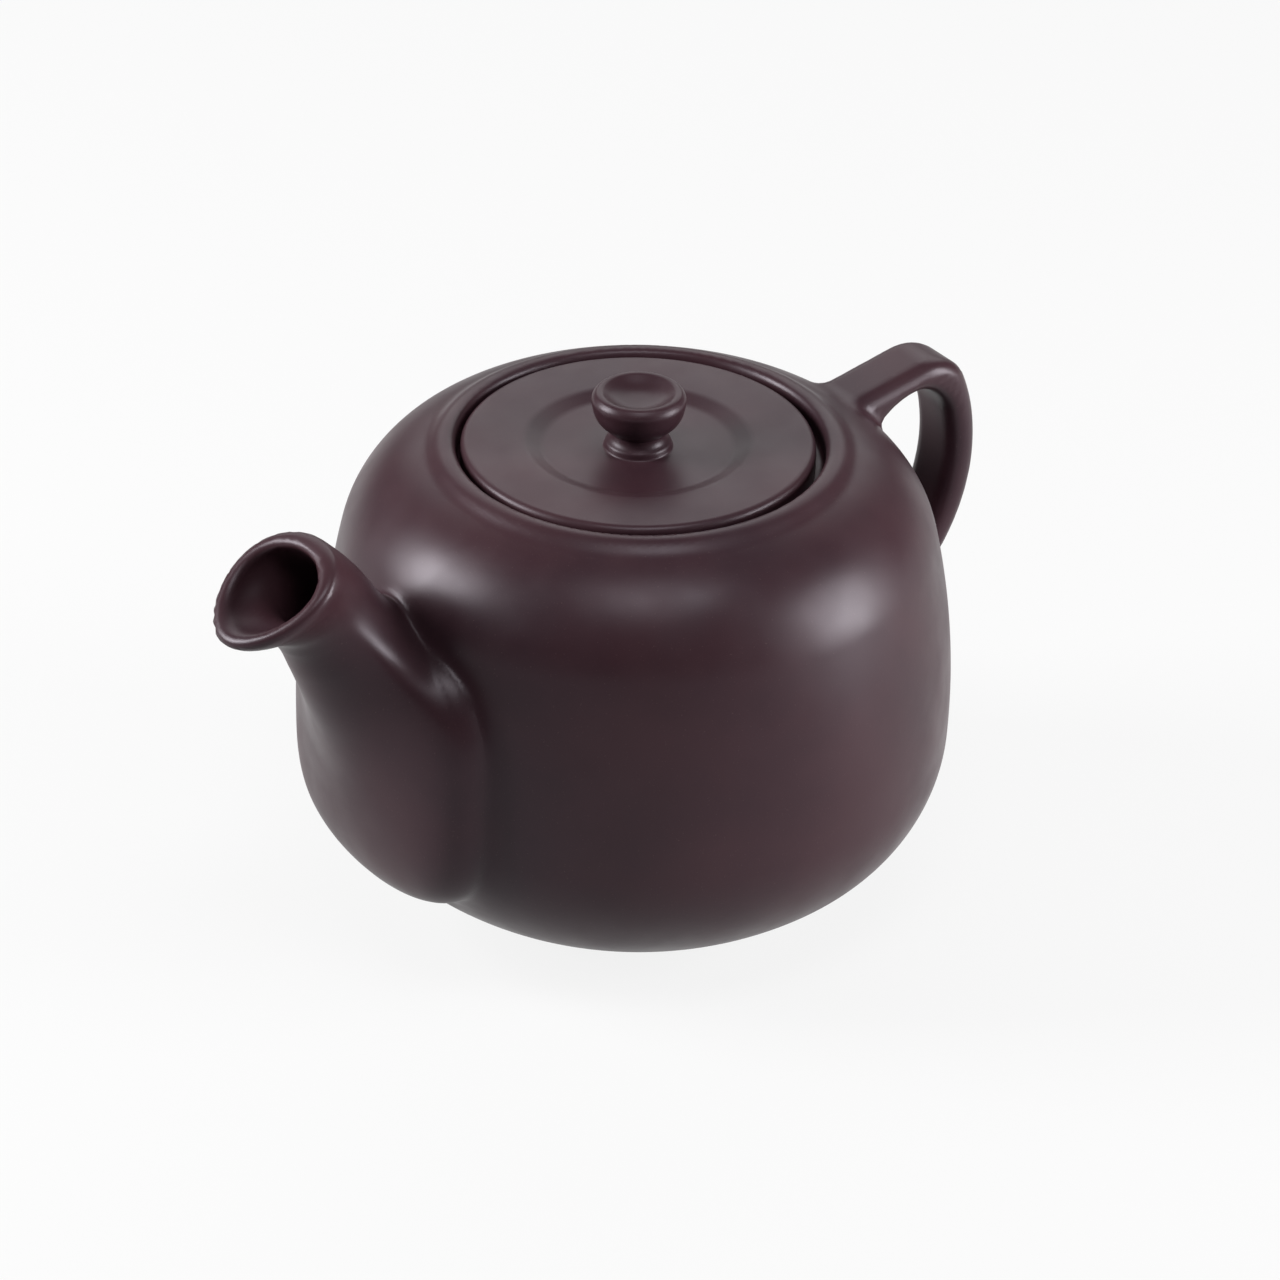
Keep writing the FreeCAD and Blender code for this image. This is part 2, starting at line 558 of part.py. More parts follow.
ear = doc.addObject("PartDesign::Body", "ear")
ear_pad = ear.newObject("PartDesign::Pad", "ear_pad")
ear_pad.Profile = ear_outline(ear)
ear_pad.Midplane = True
ear_pad.setExpression("Length", "Sizes.strap_width")
doc.recompute()
flank = cell("strap_width") / 2
rims = []
for index, edge in enumerate(ear_pad.Shape.Edges, start=1):
    points = edge.discretize(EDGE_POINTS)
    hidden = all(outer_form.Shape.isInside(point, POINT_TOLERANCE, True) for point in points)
    if not hidden and all(abs(abs(point.y) - flank) < POINT_TOLERANCE for point in points):
        rims.append(f"Edge{index}")
ear_round = ear.newObject("PartDesign::Fillet", "ear_round")
ear_round.Base = (ear_pad, rims)
ear_round.setExpression("Radius", "Sizes.strap_round")
handle = named("Part::Cut", "handle", Base=ear, Tool=outer_form)
doc.recompute()

# Every object has to solve before anything is written
for item in doc.Objects:
    if "Invalid" in item.State or "Error" in item.State:
        raise RuntimeError(f"{item.Name} did not solve: {item.State}")

PIECES = (base_disc, foot_ring, lower_wall, body_wall, shoulder_disc, mouth_collar, seat_ring, spout,
          strainer_dome, handle, lid_plate, lid_flange, knob)
os.makedirs("parts", exist_ok=True)
for piece in PIECES:
    shape = piece.Shape
    if shape.isNull() or not shape.isValid() or len(shape.Solids) != 1:
        raise RuntimeError(f"{piece.Label} is not one sound solid")
for piece in PIECES:
    piece.Shape.exportStep(f"parts/{piece.Label}.step")
    box = piece.Shape.BoundBox
    print(f"{piece.Label}: {piece.Shape.Volume / 1000:.2f} cm3, X {box.XMin:.1f} to {box.XMax:.1f}, "
          f"Y {box.YMin:.1f} to {box.YMax:.1f}, Z {box.ZMin:.1f} to {box.ZMax:.1f}")
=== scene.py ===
import logging
import math
from dataclasses import dataclass, field
from enum import Enum
from typing import Callable

import bpy
import numpy as np
from mathutils import Matrix, Vector


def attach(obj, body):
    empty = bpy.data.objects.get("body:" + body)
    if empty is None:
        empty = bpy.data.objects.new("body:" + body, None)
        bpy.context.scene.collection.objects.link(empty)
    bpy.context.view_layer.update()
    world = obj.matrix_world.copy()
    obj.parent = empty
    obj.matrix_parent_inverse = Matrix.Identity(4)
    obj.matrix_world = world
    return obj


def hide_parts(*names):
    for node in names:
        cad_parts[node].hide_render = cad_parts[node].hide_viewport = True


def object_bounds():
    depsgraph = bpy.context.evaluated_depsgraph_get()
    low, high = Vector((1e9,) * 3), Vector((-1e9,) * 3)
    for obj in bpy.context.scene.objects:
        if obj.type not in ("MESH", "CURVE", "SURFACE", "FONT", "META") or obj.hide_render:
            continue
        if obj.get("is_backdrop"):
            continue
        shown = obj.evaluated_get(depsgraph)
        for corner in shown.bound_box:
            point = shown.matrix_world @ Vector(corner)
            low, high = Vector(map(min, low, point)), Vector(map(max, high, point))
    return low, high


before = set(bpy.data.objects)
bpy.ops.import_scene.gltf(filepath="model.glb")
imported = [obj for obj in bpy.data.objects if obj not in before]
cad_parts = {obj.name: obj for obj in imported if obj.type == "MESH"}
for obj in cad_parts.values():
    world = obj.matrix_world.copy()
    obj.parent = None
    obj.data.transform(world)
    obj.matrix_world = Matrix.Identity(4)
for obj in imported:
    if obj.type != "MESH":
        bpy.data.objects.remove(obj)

# A dark clay teapot on a white floor. Z is the axis of the pot and +X the spout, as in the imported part.
# The forms are worked out in millimetres, and every mesh is written in metres.

LOG = logging.getLogger("teapot")
MM = 0.001
IMAGE_PIXELS = 1280
SENSOR_WIDTH = 36.0
SEAT_LEVEL = 91.6
POUR_LEVEL = 47.5
Field = Callable[[np.ndarray, np.ndarray, np.ndarray], np.ndarray]
Feed = bpy.types.NodeSocket | bpy.types.Material | list | tuple | float | bool


class Body(Enum):
    """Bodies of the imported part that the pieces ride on."""

    POT = "pot"
    LID = "lid"


def smooth_min(one: np.ndarray, other: np.ndarray, blend: float | np.ndarray) -> np.ndarray:
    """Join two shapes with a hollow fillet between them.

    Args:
        one: distance to the first shape.
        other: distance to the second shape.
        blend: width of the fillet, the same everywhere or one for each place.

    Returns:
        Distance to the joined shape.
    """
    share = np.clip(0.5 + 0.5 * (other - one) / blend, 0.0, 1.0)
    return other + (one - other) * share - blend * share * (1.0 - share)


def round_max(one: np.ndarray, other: np.ndarray, radius: float) -> np.ndarray:
    """Keep what two shapes share and round the edge between them.

    Args:
        one: distance to the first shape.
        other: distance to the second shape.
        radius: radius of the edge.

    Returns:
        Distance to the shared shape.
    """
    inner = np.minimum(np.maximum(one, other), -radius)
    return inner + np.hypot(np.maximum(one + radius, 0.0), np.maximum(other + radius, 0.0))


@dataclass(frozen=True)
class SmoothCurve:
    """Value that runs smoothly through a few stations.

    Attributes:
        at: stations, in rising order.
        value: value at each station.
    """

    at: tuple[float, ...]
    value: tuple[float, ...]

    def __call__(self, place: np.ndarray) -> np.ndarray:
        """Value at each place.

        Args:
            place: places along the stations.

        Returns:
            Values, held constant beyond the first and last station.
        """
        at, value = np.array(self.at), np.array(self.value)
        slope = np.gradient(value, at)
        place = np.clip(place, at[0], at[-1])
        low = np.clip(np.searchsorted(at, place) - 1, 0, len(at) - 2)
        span = at[low + 1] - at[low]
        share = (place - at[low]) / span
        rest = 1.0 - share
        start = (value[low] * (1.0 + 2.0 * share) + slope[low] * span * share) * rest**2
        end = (value[low + 1] * (1.0 + 2.0 * rest) - slope[low + 1] * span * rest) * share**2
        return start + end


@dataclass(frozen=True)
class PotForm:
    """Turned form of the pot: tangent arcs from the sole to the mouth."""

    belly_radius: float = 62.5
    belly_level: float = 42.5
    under_arc: float = 59.6
    lower_arc: float = 32.0
    belly_arc: float = 152.0
    shoulder_arc: float = 25.5
    lower_turn: float = 46.0
    belly_low_turn: float = 3.0
    belly_high_turn: float = 13.0

    def arcs(self) -> list[tuple[float, float, float, float, float]]:
        """Arcs of the outline, from the sole up.

        Returns:
            Centre reach, centre height, radius, and first and last bearing of each arc.
        """
        low = -math.radians(self.belly_low_turn)
        deep = low - math.radians(self.lower_turn)
        high = math.radians(self.belly_high_turn)
        belly = (self.belly_radius - self.belly_arc, self.belly_level)
        lower = self._step(belly, low, self.belly_arc - self.lower_arc)
        under = self._step(lower, deep, self.lower_arc - self.under_arc)
        shoulder = self._step(belly, high, self.belly_arc - self.shoulder_arc)
        return [
            (*under, self.under_arc, -math.pi, deep),
            (*lower, self.lower_arc, deep, low),
            (*belly, self.belly_arc, low, high),
            (*shoulder, self.shoulder_arc, high, math.pi),
        ]

    @staticmethod
    def _step(start: tuple[float, float], bearing: float, length: float) -> tuple[float, float]:
        """Point at a bearing and length from another."""
        return start[0] + length * math.cos(bearing), start[1] + length * math.sin(bearing)

    def distance(self, reach: np.ndarray, height: np.ndarray) -> np.ndarray:
        """Signed distance to the outline, below zero inside.

        Args:
            reach: distance from the axis.
            height: height over the table.

        Returns:
            Distance to the nearest arc that faces the point.
        """
        best = np.full(np.shape(reach), -self.belly_radius)
        for across, up, radius, first, last in self.arcs():
            bearing = np.arctan2(height - up, reach - across)
            gap = np.hypot(reach - across, height - up) - radius
            facing = (bearing >= first) & (bearing <= last)
            best = np.where(facing, np.maximum(best, gap), best)
        return best


@dataclass(frozen=True)
class SpoutForm:
    """Spout: a swelling root on the belly, a leaning neck and a lip drawn out to the front.

    The neck is measured along its lean: stations up the neck, and front, back and half width there.
    """

    lean: float = 34.5
    front: SmoothCurve = SmoothCurve((88.0, 96.0, 104.0, 111.0, 115.5, 119.0, 122.2, 124.0, 126.0),
                                     (26.2, 26.4, 25.8, 25.0, 25.5, 28.3, 31.7, 32.5, 32.5))
    back: SmoothCurve = SmoothCurve((92.0, 104.0, 114.0, 120.0, 124.0, 125.8),
                                    (2.6, 3.6, 3.7, 4.5, 5.4, 6.2))
    half_width: SmoothCurve = SmoothCurve((92.0, 104.0, 114.0, 119.0, 122.6, 126.0),
                                          (9.8, 9.9, 10.2, 11.4, 12.5, 12.6))
    egg: SmoothCurve = SmoothCurve((104.0, 116.0, 125.0), (0.0, 0.03, 0.15))
    egg_limit: float = 1.5
    neck_start: float = 62.0
    lip_station: float = 124.9
    wall: float = 3.2
    back_wall: float = 4.0
    front_wall: SmoothCurve = SmoothCurve((108.0, 114.0, 118.5, 121.5, 125.0), (3.0, 4.2, 5.8, 5.2, 3.4))
    lip_round: float = 1.6
    bulb_reach: float = 55.0
    bulb_level: float = 46.0
    bulb_depth: float = 13.6
    bulb_half_width: float = 29.5
    bulb_rise: float = 30.6
    bulb_drop: float = 27.6
    bulb_plan_power: float = 2.8
    bulb_top_power: float = 2.9
    bulb_foot_power: float = 3.0
    back_blend: float = 4.0
    front_blend: float = 17.0
    blend_span: tuple[float, float] = (3.5, 15.0)

    def along(self, x: np.ndarray, z: np.ndarray) -> tuple[np.ndarray, np.ndarray]:
        """Place across and up the lean of the neck."""
        lean = math.radians(self.lean)
        return x * math.cos(lean) - z * math.sin(lean), x * math.sin(lean) + z * math.cos(lean)

    def neck(self, x: np.ndarray, y: np.ndarray, z: np.ndarray, hollow: bool) -> np.ndarray:
        """Distance to the neck, or to the hollow inside its walls.

        Args:
            x: reach towards the spout.
            y: reach to the side.
            z: height over the table.
            hollow: whether the walls are taken off.

        Returns:
            Distance, below zero inside.
        """
        across, station = self.along(x, z)
        front, back, side = self.front(station), self.back(station), self.half_width(station)
        if hollow:
            front, back, side = front - self.front_wall(station), back + self.back_wall, side - self.wall
        depth = (front - back) / 2
        place = (across - (front + back) / 2) / depth
        narrow = side * (1.0 - self.egg(station) * np.clip(place, -self.egg_limit, self.egg_limit))
        oval = (np.hypot(place, y / narrow) - 1.0) * np.minimum(depth, side)
        return np.maximum(oval, self.neck_start - station)

    def bulb(self, x: np.ndarray, y: np.ndarray, z: np.ndarray) -> np.ndarray:
        """Distance to the swelling root.

        Args:
            x: reach towards the spout.
            y: reach to the side.
            z: height over the table.

        Returns:
            Distance, below zero inside.
        """
        upper = z > self.bulb_level
        level = np.abs(z - self.bulb_level) / np.where(upper, self.bulb_rise, self.bulb_drop)
        power = np.where(upper, self.bulb_top_power, self.bulb_foot_power)
        plan = self.bulb_plan_power
        ahead, aside = np.abs(x - self.bulb_reach) / self.bulb_depth, np.abs(y) / self.bulb_half_width
        oval = (ahead**plan + aside**plan) ** (1.0 / plan)
        return ((oval**power + level**power) ** (1.0 / power) - 1.0) * self.bulb_depth

    def blend(self, x: np.ndarray, z: np.ndarray) -> np.ndarray:
        """Width of the fillet between neck and root.

        Args:
            x: reach towards the spout.
            z: height over the table.

        Returns:
            Width, tight at the back and wide at the front.
        """
        first, last = self.blend_span
        share = np.clip((self.along(x, z)[0] - first) / (last - first), 0.0, 1.0)
        return self.back_blend + (self.front_blend - self.back_blend) * share**2 * (3.0 - 2.0 * share)

    def outside(self, x: np.ndarray, y: np.ndarray, z: np.ndarray) -> np.ndarray:
        """Distance to the whole spout, cut off at the lip."""
        joined = smooth_min(self.bulb(x, y, z), self.neck(x, y, z, False), self.blend(x, z))
        return round_max(joined, self.along(x, z)[1] - self.lip_station, self.lip_round)

    def bore(self, x: np.ndarray, y: np.ndarray, z: np.ndarray) -> np.ndarray:
        """Distance to the way for the tea."""
        neck = self.neck(x, y, z, True)
        return smooth_min(self.bulb(x, y, z) + self.wall, neck, self.blend(x, z))


@dataclass(frozen=True)
class EarForm:
    """Handle: a flat bar that bends into an ear, with rounded edges and a finger loop."""

    root_reach: float = 46.0
    root_level: float = 91.9
    slope: float = 10.8
    corner: float = 7.0
    grip_arc: float = 40.0
    grip_reach: float = 80.2
    grip_level: float = 74.6
    grip_thickness: float = 6.5
    loop_corner: float = 4.2
    loop_arc: float = 14.0
    loop_reach: float = 66.0
    loop_level: float = 76.0
    loop_foot: float = 40.0
    width: float = 13.4
    edge_round: float = 3.2

    def distance(self, x: np.ndarray, y: np.ndarray, z: np.ndarray) -> np.ndarray:
        """Distance to the handle.

        Args:
            x: reach towards the spout.
            y: reach to the side.
            z: height over the table.

        Returns:
            Distance, below zero inside.
        """
        slope = math.radians(self.slope)
        over_bar = (z - self.root_level) * math.cos(slope) + (x + self.root_reach) * math.sin(slope)
        centre = self.grip_arc - self.grip_reach
        from_centre = np.hypot(x - centre, z - self.grip_level)
        outline = round_max(over_bar, from_centre - self.grip_arc, self.corner)
        stem = np.clip(z, self.loop_foot, self.loop_level)
        under_bar = np.hypot(x + self.loop_reach, z - stem) - self.loop_arc
        palm = from_centre - (self.grip_arc - self.grip_thickness)
        loop = round_max(under_bar, palm, self.loop_corner)
        ear = np.maximum(np.maximum(outline, -loop), x + self.root_reach)
        return round_max(ear, np.abs(y) - self.width / 2, self.edge_round)


@dataclass
class ClayMesher:
    """Turns a distance field into an even skin of quads that lies on the surface.

    Attributes:
        low: lowest corner of the space searched.
        high: highest corner of that space.
        step: size of a quad.
        relax_share: share of the way to the middle of its neighbours that a point moves in a round.
        slope_reach: reach of a slope's measure, as a share of the step.
        least_slope: least square of a slope that a point is moved by.
    """

    low: tuple[float, float, float]
    high: tuple[float, float, float]
    step: float
    relax_rounds: int = 4
    relax_share: float = 0.5
    settle_rounds: int = 4
    slope_reach: float = 0.1
    least_slope: float = 0.05

    def skin(self, shape: Field) -> tuple[np.ndarray, np.ndarray, np.ndarray]:
        """Points, quads and normals of the surface of a field.

        Args:
            shape: distance field over x, y and z.

        Returns:
            Points in millimetres, corner numbers of each quad, and a unit normal for each point.
        """
        axes = [np.arange(low, high + self.step, self.step) for low, high in zip(self.low, self.high)]
        grid = np.meshgrid(*axes, indexing="ij", sparse=True)
        inside = shape(*np.broadcast_arrays(*grid)) < 0.0
        points, quads = self._largest(*self._cells(inside))
        points = self._settle(shape, points * self.step + np.array(self.low))
        points = self._relax(shape, points, quads)
        slope = self._slope(shape, points)
        return points, quads, slope / np.linalg.norm(slope, axis=1, keepdims=True)

    @staticmethod
    def _cells(inside: np.ndarray) -> tuple[np.ndarray, np.ndarray]:
        """Rough skin between the grid points inside and outside a shape.

        Args:
            inside: whether each grid point is inside.

        Returns:
            A point for each cell that the surface crosses, in steps, and a quad for each crossed grid edge.
        """
        parts = [slice(None, -1), slice(1, None)]
        corners = [inside[a, b, c] for a in parts for b in parts for c in parts]
        count = sum(corner.astype(np.int8) for corner in corners)
        crossed = (count > 0) & (count < len(corners))
        number = np.full(crossed.shape, -1)
        number[crossed] = np.arange(np.count_nonzero(crossed))
        quads = []
        for axis in range(3):
            turned = np.moveaxis(inside, axis, 0)
            cells = np.moveaxis(number, axis, 0)
            start, end = turned[:-1, 1:-1, 1:-1], turned[1:, 1:-1, 1:-1]
            i, j, k = np.nonzero(start != end)
            ring = np.stack([cells[i, j + a, k + b] for a, b in ((0, 0), (1, 0), (1, 1), (0, 1))], 1)
            # With y moved to the front the other two axes swap their sense of turning.
            outward = start[i, j, k] if axis != 1 else ~start[i, j, k]
            quads.append(np.where(outward[:, None], ring, ring[:, ::-1]))
        return np.argwhere(crossed) + 0.5, np.vstack(quads)

    @staticmethod
    def _largest(points: np.ndarray, quads: np.ndarray) -> tuple[np.ndarray, np.ndarray]:
        """Largest connected skin.

        Args:
            points: points of all the skins.
            quads: corner numbers of each quad.

        Returns:
            Points and quads of the skin with the most points.
        """
        label = np.arange(len(points))
        settled = False
        while not settled:
            lowest = label.copy()
            for corner in quads.T:
                np.minimum.at(lowest, corner, label[quads].min(1))
            lowest = lowest[lowest]
            settled = bool((lowest == label).all())
            label = lowest
        kept = label == np.bincount(label).argmax()
        number = np.cumsum(kept) - 1
        return points[kept], number[quads[kept[quads[:, 0]]]]

    def _relax(self, shape: Field, points: np.ndarray, quads: np.ndarray) -> np.ndarray:
        """Even out the quads of a skin.

        Args:
            shape: distance field of the skin.
            points: points of the skin.
            quads: corner numbers of each quad.

        Returns:
            Points nearer to the middle of their neighbours, on the surface again.
        """
        edges = np.vstack([quads[:, [corner, (corner + 1) % 4]] for corner in range(4)])
        count = np.bincount(edges.ravel(), minlength=len(points))[:, None]
        for _ in range(self.relax_rounds):
            total = np.zeros_like(points)
            for here, there in (edges.T, edges.T[::-1]):
                for axis in range(3):
                    total[:, axis] += np.bincount(here, points[there, axis], len(points))
            points = self._settle(shape, points + self.relax_share * (total / count - points))
        return points

    def _slope(self, shape: Field, points: np.ndarray) -> np.ndarray:
        """Gradient of a field.

        Args:
            shape: distance field.
            points: places where it is measured.

        Returns:
            Gradient at each point.
        """
        reach = self.slope_reach * self.step
        columns = []
        for axis in range(3):
            offset = np.zeros(3)
            offset[axis] = reach
            columns.append((shape(*(points + offset).T) - shape(*(points - offset).T)) / (2 * reach))
        return np.stack(columns, 1)

    def _settle(self, shape: Field, points: np.ndarray) -> np.ndarray:
        """Move points down or up the slope of a field.

        Args:
            shape: distance field.
            points: places near its surface.

        Returns:
            Places on its surface.
        """
        for _ in range(self.settle_rounds):
            slope = self._slope(shape, points)
            steep = np.maximum((slope**2).sum(1), self.least_slope)
            move = np.clip(shape(*points.T) / steep, -self.step, self.step)
            points = points - slope * move[:, None]
        return points


def new_piece(name: str, points: np.ndarray, faces: np.ndarray | list[tuple[int, ...]],
              normals: np.ndarray | None = None) -> bpy.types.Object:
    """Mesh object at the origin from points in millimetres.

    Args:
        name: name of the piece.
        points: one row for each point.
        faces: corner numbers of each face.
        normals: unit normal of each point, or None for the mesh's own.

    Returns:
        The new object, shaded smooth.
    """
    mesh = bpy.data.meshes.new(name)
    mesh.from_pydata((points * MM).tolist(), [], [list(map(int, face)) for face in faces])
    mesh.validate()
    mesh.shade_smooth()
    if normals is not None:
        mesh.normals_split_custom_set_from_vertices(normals.tolist())
    piece = bpy.data.objects.new(name, mesh)
    bpy.context.scene.collection.objects.link(piece)
    return piece


def applied(piece: bpy.types.Object, sharp_angle: float) -> bpy.types.Mesh:
    """Plain mesh of a piece with its modifiers applied.

    Args:
        piece: object with modifiers.
        sharp_angle: angle between faces, in degrees, past which an edge stays sharp.

    Returns:
        The mesh, shaded smooth between its sharp edges.
    """
    graph = bpy.context.evaluated_depsgraph_get()
    mesh = bpy.data.meshes.new_from_object(piece.evaluated_get(graph))
    mesh.shade_smooth()
    mesh.set_sharp_from_angle(angle=math.radians(sharp_angle))
    return mesh


@dataclass(frozen=True)
class NodeBench:
    """Adds nodes to a tree and feeds their inputs.

    Attributes:
        tree: node tree of a material or of a geometry modifier.
    """

    tree: bpy.types.NodeTree

    def feed(self, node: bpy.types.Node, feeds: dict[str | int, Feed]) -> None:
        """Link or set inputs of a node.

        Args:
            node: node of the tree.
            feeds: for each input, by name or number, a socket, a list of sockets or a constant.
        """
        for name, sources in feeds.items():
            for source in sources if isinstance(sources, list) else [sources]:
                if isinstance(source, bpy.types.NodeSocket):
                    self.tree.links.new(source, node.inputs[name])
                else:
                    node.inputs[name].default_value = source

    def add(self, kind: str, feeds: dict[str | int, Feed] | None = None, **settings: str) -> bpy.types.Node:
        """New node of the tree.

        Args:
            kind: type of the node.
            feeds: sockets and constants for its inputs.
            settings: its own properties.

        Returns:
            The node.
        """
        node = self.tree.nodes.new(kind)
        for name, setting in settings.items():
            setattr(node, name, setting)
        self.feed(node, feeds or {})
        return node

    def maths(self, operation: str, one: bpy.types.NodeSocket, other: Feed) -> bpy.types.NodeSocket:
        """Result of a calculation on two values."""
        return self.add("ShaderNodeMath", {0: one, 1: other}, operation=operation).outputs[0]

    def vector(self, **axes: bpy.types.NodeSocket) -> bpy.types.NodeSocket:
        """Vector with a value on each axis named, and zero on the others."""
        return self.add("ShaderNodeCombineXYZ", axes).outputs["Vector"]

    def moved(self, shape: bpy.types.NodeSocket, **ways: Feed) -> bpy.types.NodeSocket:
        """Geometry after a translation or a rotation."""
        return self.add("GeometryNodeTransform", {"Geometry": shape, **ways}).outputs["Geometry"]


@dataclass(frozen=True)
class ClayFinish:
    """Unglazed clay, rubbed smooth: a dark ground with warm clouds, fine grain and a satin rub.

    Attributes:
        name: name of the material.
        ground: darkest colour of the clay.
        warm: colour of the warmer clouds.
        speck: colour of the finest light grains.
        sheen: tint of its reflections.
        cloud_span: noise values where the ground begins to warm and where it is warm.
        speck_span: noise values where a grain begins to lighten and where it is lightest.
        speck_share: share of the light colour there.
        rub_span: noise values of the smoothest and of the roughest clay.
        roughness: roughness there.
    """

    name: str
    ground: tuple[float, float, float] = (0.0210, 0.0092, 0.0127)
    warm: tuple[float, float, float] = (0.0330, 0.0138, 0.0176)
    speck: tuple[float, float, float] = (0.070, 0.042, 0.044)
    sheen: tuple[float, float, float] = (0.97, 0.91, 1.0)
    cloud_scale: float = 26.0
    cloud_detail: float = 4.0
    cloud_span: tuple[float, float] = (0.35, 0.68)
    grain_scale: float = 2600.0
    grain_detail: float = 2.0
    speck_span: tuple[float, float] = (0.66, 0.80)
    speck_share: tuple[float, float] = (0.0, 0.55)
    rub_scale: float = 90.0
    rub_detail: float = 5.0
    rub_span: tuple[float, float] = (0.3, 0.7)
    roughness: tuple[float, float] = (0.33, 0.43)
    bump_strength: float = 0.35
    bump_height: float = 0.00002
    index: float = 1.32

    def build(self) -> bpy.types.Material:
        """Node material of this finish.

        Returns:
            The material.
        """
        material = bpy.data.materials.new(self.name)
        material.use_nodes = True
        bench = NodeBench(material.node_tree)
        place = bench.add("ShaderNodeTexCoord").outputs["Object"]
        cloud = self._noise(bench, place, self.cloud_scale, self.cloud_detail)
        grain = self._noise(bench, place, self.grain_scale, self.grain_detail)
        rub = self._noise(bench, place, self.rub_scale, self.rub_detail)
        speckled = bench.add("ShaderNodeMix", {
            "Factor": self._range(bench, grain, self.speck_span, self.speck_share),
            "A": self._clouds(bench, cloud),
            "B": (*self.speck, 1.0),
        }, data_type="RGBA")
        bump = bench.add("ShaderNodeBump", {
            "Strength": self.bump_strength,
            "Distance": self.bump_height,
            "Height": grain,
        })
        bench.feed(bench.tree.nodes["Principled BSDF"], {
            "Base Color": speckled.outputs["Result"],
            "Roughness": self._range(bench, rub, self.rub_span, self.roughness),
            "Normal": bump.outputs["Normal"],
            "IOR": self.index,
            "Specular Tint": (*self.sheen, 1.0),
        })
        return material

    @staticmethod
    def _noise(bench: NodeBench, place: bpy.types.NodeSocket, scale: float,
               detail: float) -> bpy.types.NodeSocket:
        """Noise value at a scale and with a count of finer layers."""
        feeds = {"Vector": place, "Scale": scale, "Detail": detail}
        return bench.add("ShaderNodeTexNoise", feeds).outputs["Fac"]

    def _clouds(self, bench: NodeBench, value: bpy.types.NodeSocket) -> bpy.types.NodeSocket:
        """Ground colour with its warmer clouds.

        Args:
            bench: bench of the material.
            value: noise of the clouds.

        Returns:
            Socket that carries the colour.
        """
        node = bench.add("ShaderNodeValToRGB", {"Fac": value})
        colours = (self.ground, self.warm)
        for element, position, colour in zip(node.color_ramp.elements, self.cloud_span, colours):
            element.position = position
            element.color = (*colour, 1.0)
        return node.outputs["Color"]

    @staticmethod
    def _range(bench: NodeBench, value: bpy.types.NodeSocket, source: tuple[float, float],
               target: tuple[float, float]) -> bpy.types.NodeSocket:
        """Value carried from one range to another.

        Args:
            bench: bench of the material.
            value: value to carry over.
            source: low and high end of its range.
            target: low and high end of the new range.

        Returns:
            Socket that carries the new value.
        """
        names = ("From Min", "From Max", "To Min", "To Max")
        feeds = {"Value": value, **dict(zip(names, (*source, *target)))}
        return bench.add("ShaderNodeMapRange", feeds).outputs["Result"]


def dress(piece: bpy.types.Object, finish: bpy.types.Material, body: Body, *nodes: str) -> bpy.types.Object:
    """Give a piece its finish, its body and the nodes that it stands for.

    Args:
        piece: finished piece, at the origin.
        finish: its material.
        body: body that it rides on.
        nodes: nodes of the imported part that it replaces.

    Returns:
        The piece.
    """
    piece.data.materials.clear()
    piece.data.materials.append(finish)
    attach(piece, body.value)
    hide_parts(*nodes)
    return piece


